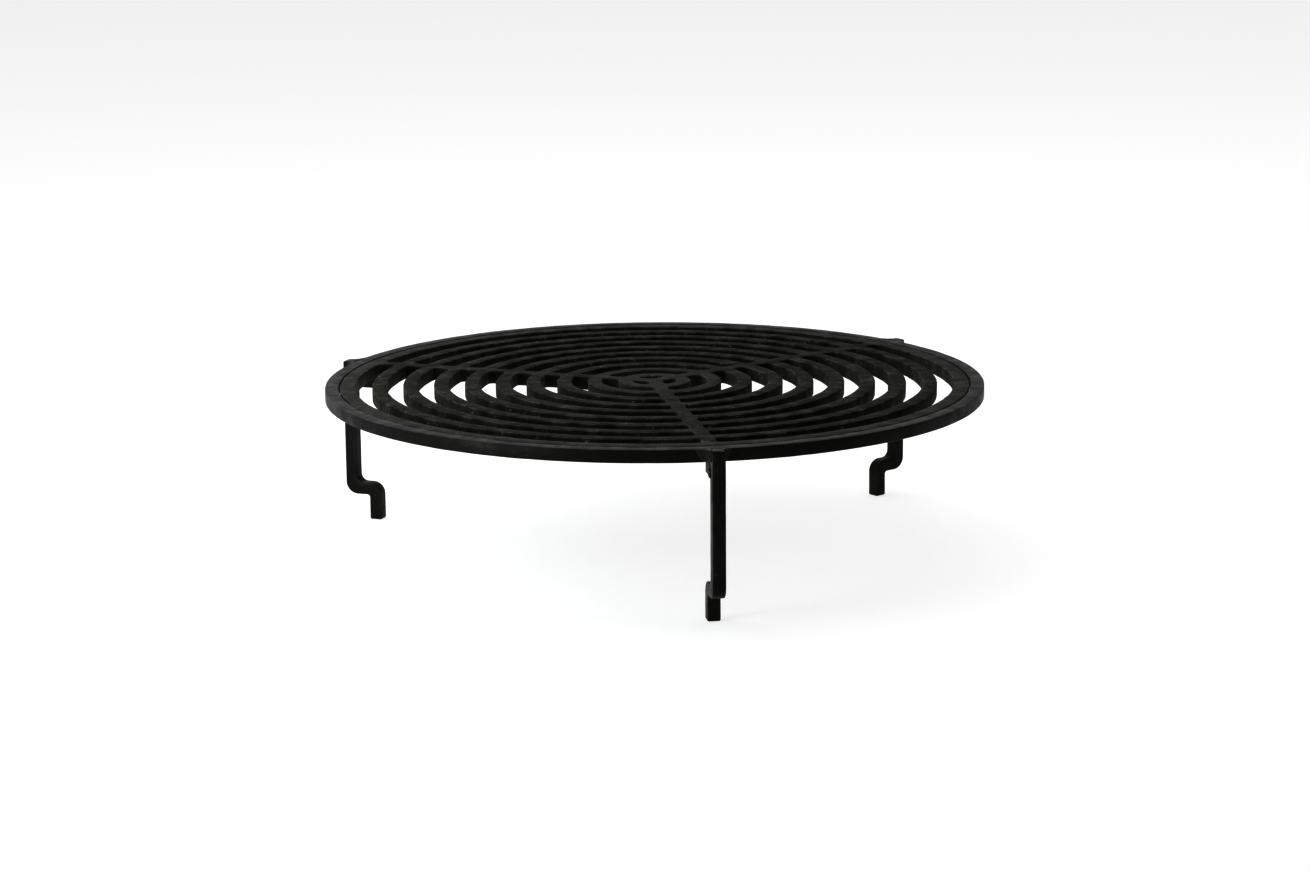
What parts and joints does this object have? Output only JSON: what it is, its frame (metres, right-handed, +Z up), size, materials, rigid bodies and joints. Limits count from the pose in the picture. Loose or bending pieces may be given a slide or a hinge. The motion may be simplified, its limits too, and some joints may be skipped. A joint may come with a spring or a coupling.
{
  "type": "fire bowl grill insert",
  "caption": "Round support ring on three stepped bar legs, holding a loose cast grate of concentric rings and ribs over a fire bowl opening.",
  "frame": {"origin": "on the axis of the rings, level with the undersides of the three feet", "axes": "+Z up along the axis of the rings, -Y towards the front; the front leg stands 15 degrees to the right of -Y, seen from the front"},
  "size_m": [0.4216, 0.4216, 0.106],
  "materials": {
    "coated_steel": "matt black heat-resistant coating",
    "weld_bead": "rippled weld under matt black coating",
    "cast_iron": "rough cast, matt black, seasoned"
  },
  "bodies": {
    "stand": {"support_ring": "coated_steel", "leg_front": "coated_steel", "leg_right": "coated_steel", "leg_left": "coated_steel", "rest_front": "coated_steel", "rest_right": "coated_steel", "rest_left": "coated_steel", "ring_weld_front": "weld_bead", "ring_weld_right": "weld_bead", "ring_weld_left": "weld_bead", "rest_weld_front": "weld_bead", "rest_weld_right": "weld_bead", "rest_weld_left": "weld_bead"},
    "grate": {"cooking_grate": "cast_iron"}
  },
  "joints": [
    {"name": "grate_lift", "type": "slide", "parent": "stand", "child": "grate", "axis": [0, 0, 1], "range_m": [0, 0.12]}
  ]
}
